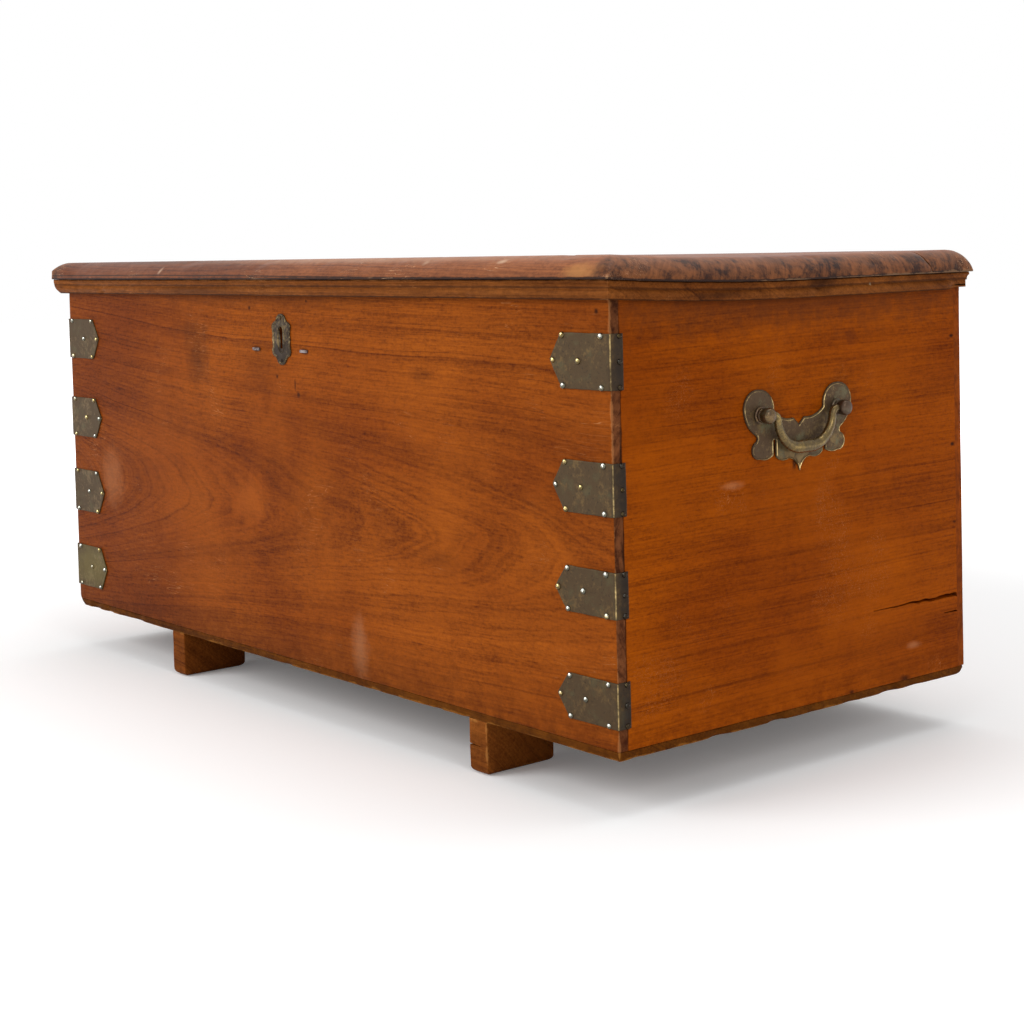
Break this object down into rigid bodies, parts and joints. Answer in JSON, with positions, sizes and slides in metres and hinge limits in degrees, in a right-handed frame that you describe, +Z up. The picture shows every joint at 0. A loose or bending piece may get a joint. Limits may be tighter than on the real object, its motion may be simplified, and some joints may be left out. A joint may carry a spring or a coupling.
{
  "type": "lidded storage chest",
  "caption": "Long boarded wooden chest on block feet with a hinged overhanging lid, brass corner straps, a keyed box lock and a swinging bail handle on each end.",
  "frame": {"origin": "on the floor under the middle of the chest's overall box", "axes": "+X along the chest to its right end, +Y from the front to the back, +Z up"},
  "size_m": [1.1472, 0.5332, 0.5281],
  "materials": {
    "front_wood": "worn, waxed tropical hardwood, satin",
    "end_wood": "worn, waxed tropical hardwood, satin",
    "lid_wood": "rubbed and dusty hardwood, dull satin",
    "moulding_wood": "waxed hardwood, satin",
    "foot_wood": "dry hardwood, dull",
    "bottom_wood": "dry hardwood, dull",
    "aged_brass_sheet": "sheet brass with a brown and green patina, dull",
    "brass_nails": "domed brass, rubbed bright on top",
    "aged_brass_cast": "cast brass, brown patina, polished by hands on the high places",
    "hinge_brass": "plain aged brass",
    "iron": "dark wrought iron"
  },
  "bodies": {
    "case": {"back_board": "front_wood", "bottom_board": "bottom_wood", "corner_strap_left_1": "aged_brass_sheet", "corner_strap_left_2": "aged_brass_sheet", "corner_strap_left_3": "aged_brass_sheet", "corner_strap_left_4": "aged_brass_sheet", "corner_strap_right_1": "aged_brass_sheet", "corner_strap_right_2": "aged_brass_sheet", "corner_strap_right_3": "aged_brass_sheet", "corner_strap_right_4": "aged_brass_sheet", "end_board_left": "end_wood", "end_board_right": "end_wood", "escutcheon": "aged_brass_sheet", "escutcheon_pins": "brass_nails", "foot_front_left": "foot_wood", "foot_front_right": "foot_wood", "foot_nails": "iron", "foot_rear_left": "foot_wood", "foot_rear_right": "foot_wood", "front_board": "front_wood", "handle_backplate_left": "aged_brass_sheet", "handle_backplate_right": "aged_brass_sheet", "handle_nuts": "iron", "handle_post_left_front": "aged_brass_cast", "handle_post_left_rear": "aged_brass_cast", "handle_post_right_front": "aged_brass_cast", "handle_post_right_rear": "aged_brass_cast", "hinge_case_leaf_1": "hinge_brass", "hinge_case_leaf_2": "hinge_brass", "hinge_case_leaf_3": "hinge_brass", "hinge_case_screws": "hinge_brass", "hinge_pin_1": "hinge_brass", "hinge_pin_2": "hinge_brass", "hinge_pin_3": "hinge_brass", "lock_case": "iron", "lock_clench_nails": "iron", "lock_plate": "iron", "strap_nails": "brass_nails"},
    "lid": {"hinge_lid_leaf_1": "hinge_brass", "hinge_lid_leaf_2": "hinge_brass", "hinge_lid_leaf_3": "hinge_brass", "hinge_lid_screws": "hinge_brass", "lid_board": "lid_wood", "lid_moulding_front": "moulding_wood", "lid_moulding_left": "moulding_wood", "lid_moulding_right": "moulding_wood", "lid_staple": "hinge_brass", "lid_staple_screws": "hinge_brass"},
    "bail_left": {"bail_left": "aged_brass_cast"},
    "bail_right": {"bail_right": "aged_brass_cast"},
    "lock_bolt": {"lock_bolt": "iron"}
  },
  "joints": [
    {"name": "lid_hinge", "type": "hinge", "parent": "case", "child": "lid", "pos_m": [0, 0.2624, 0.497], "axis": [-1, 0, 0], "range_deg": [0, 100]},
    {"name": "bail_left_swing", "type": "hinge", "parent": "case", "child": "bail_left", "pos_m": [-0.5652, 0.0009, 0.365], "axis": [0, 1, 0], "range_deg": [-4, 185]},
    {"name": "bail_right_swing", "type": "hinge", "parent": "case", "child": "bail_right", "pos_m": [0.5652, 0.0009, 0.365], "axis": [0, -1, 0], "range_deg": [-4, 185]},
    {"name": "lock_bolt_slide", "type": "slide", "parent": "case", "child": "lock_bolt", "axis": [1, 0, 0], "range_m": [0, 0.012]}
  ]
}
